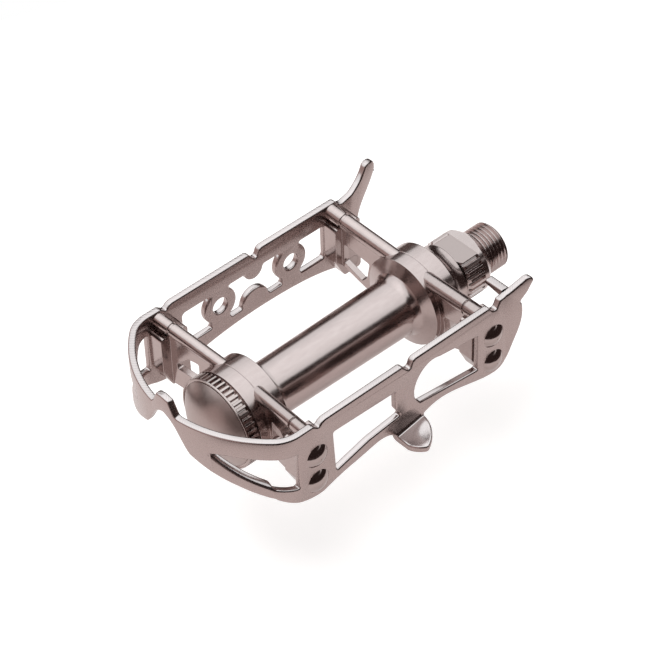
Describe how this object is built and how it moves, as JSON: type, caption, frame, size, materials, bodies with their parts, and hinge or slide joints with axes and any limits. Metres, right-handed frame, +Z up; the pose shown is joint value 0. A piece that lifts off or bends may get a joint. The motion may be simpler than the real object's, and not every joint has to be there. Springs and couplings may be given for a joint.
{
  "type": "bicycle pedal",
  "caption": "Quill road bicycle pedal with a wrapped metal cage, drilled front plate, kick tab and a threaded spindle that turns on balls.",
  "frame": {"origin": "on the spindle's axis, at the centre of the shoulder face that seats on the crank arm", "axes": "+Y along the spindle towards the crank, +X to the rear plate with the kick tab, +Z up"},
  "size_m": [0.0752, 0.1218, 0.0366],
  "materials": {
    "spindle_steel": "bright plated steel",
    "seal_rubber": "matt black",
    "bearing_steel": "ground hardened steel",
    "ball_steel": "polished",
    "cap_alloy": "polished, knurled rim",
    "body_alloy": "polished casting",
    "cage_alloy": "satin with bright edges",
    "rivet_steel": "polished"
  },
  "bodies": {
    "axle": {"spindle": "spindle_steel", "adjusting_cone": "bearing_steel", "lock_washer": "bearing_steel", "lock_nut": "bearing_steel"},
    "pedal": {"pedal_body": "body_alloy", "cage_strip": "cage_alloy", "inner_cup": "bearing_steel", "outer_cup": "bearing_steel", "inner_seal": "seal_rubber", "dust_cap": "cap_alloy", "rear_rivet_1": "rivet_steel", "rear_rivet_2": "rivet_steel", "rear_rivet_3": "rivet_steel", "rear_rivet_4": "rivet_steel", "front_rivet_1": "rivet_steel", "front_rivet_2": "rivet_steel", "front_rivet_3": "rivet_steel", "front_rivet_4": "rivet_steel"},
    "inner_ball_ring": {"inner_balls": "ball_steel"},
    "outer_ball_ring": {"outer_balls": "ball_steel"}
  },
  "joints": [
    {"name": "pedal_spin", "type": "hinge", "parent": "axle", "child": "pedal", "pos_m": [0, -0.05, 0], "axis": [0, 1, 0], "continuous": true},
    {"name": "inner_balls_orbit", "type": "hinge", "parent": "axle", "child": "inner_ball_ring", "pos_m": [0, -0.0148, 0], "axis": [0, 1, 0], "continuous": true},
    {"name": "outer_balls_orbit", "type": "hinge", "parent": "axle", "child": "outer_ball_ring", "pos_m": [0, -0.0862, 0], "axis": [0, 1, 0], "continuous": true}
  ],
  "couplings": [
    {"joint": "inner_balls_orbit", "follows": "pedal_spin", "ratio": 0.5813},
    {"joint": "outer_balls_orbit", "follows": "pedal_spin", "ratio": 0.5877}
  ]
}
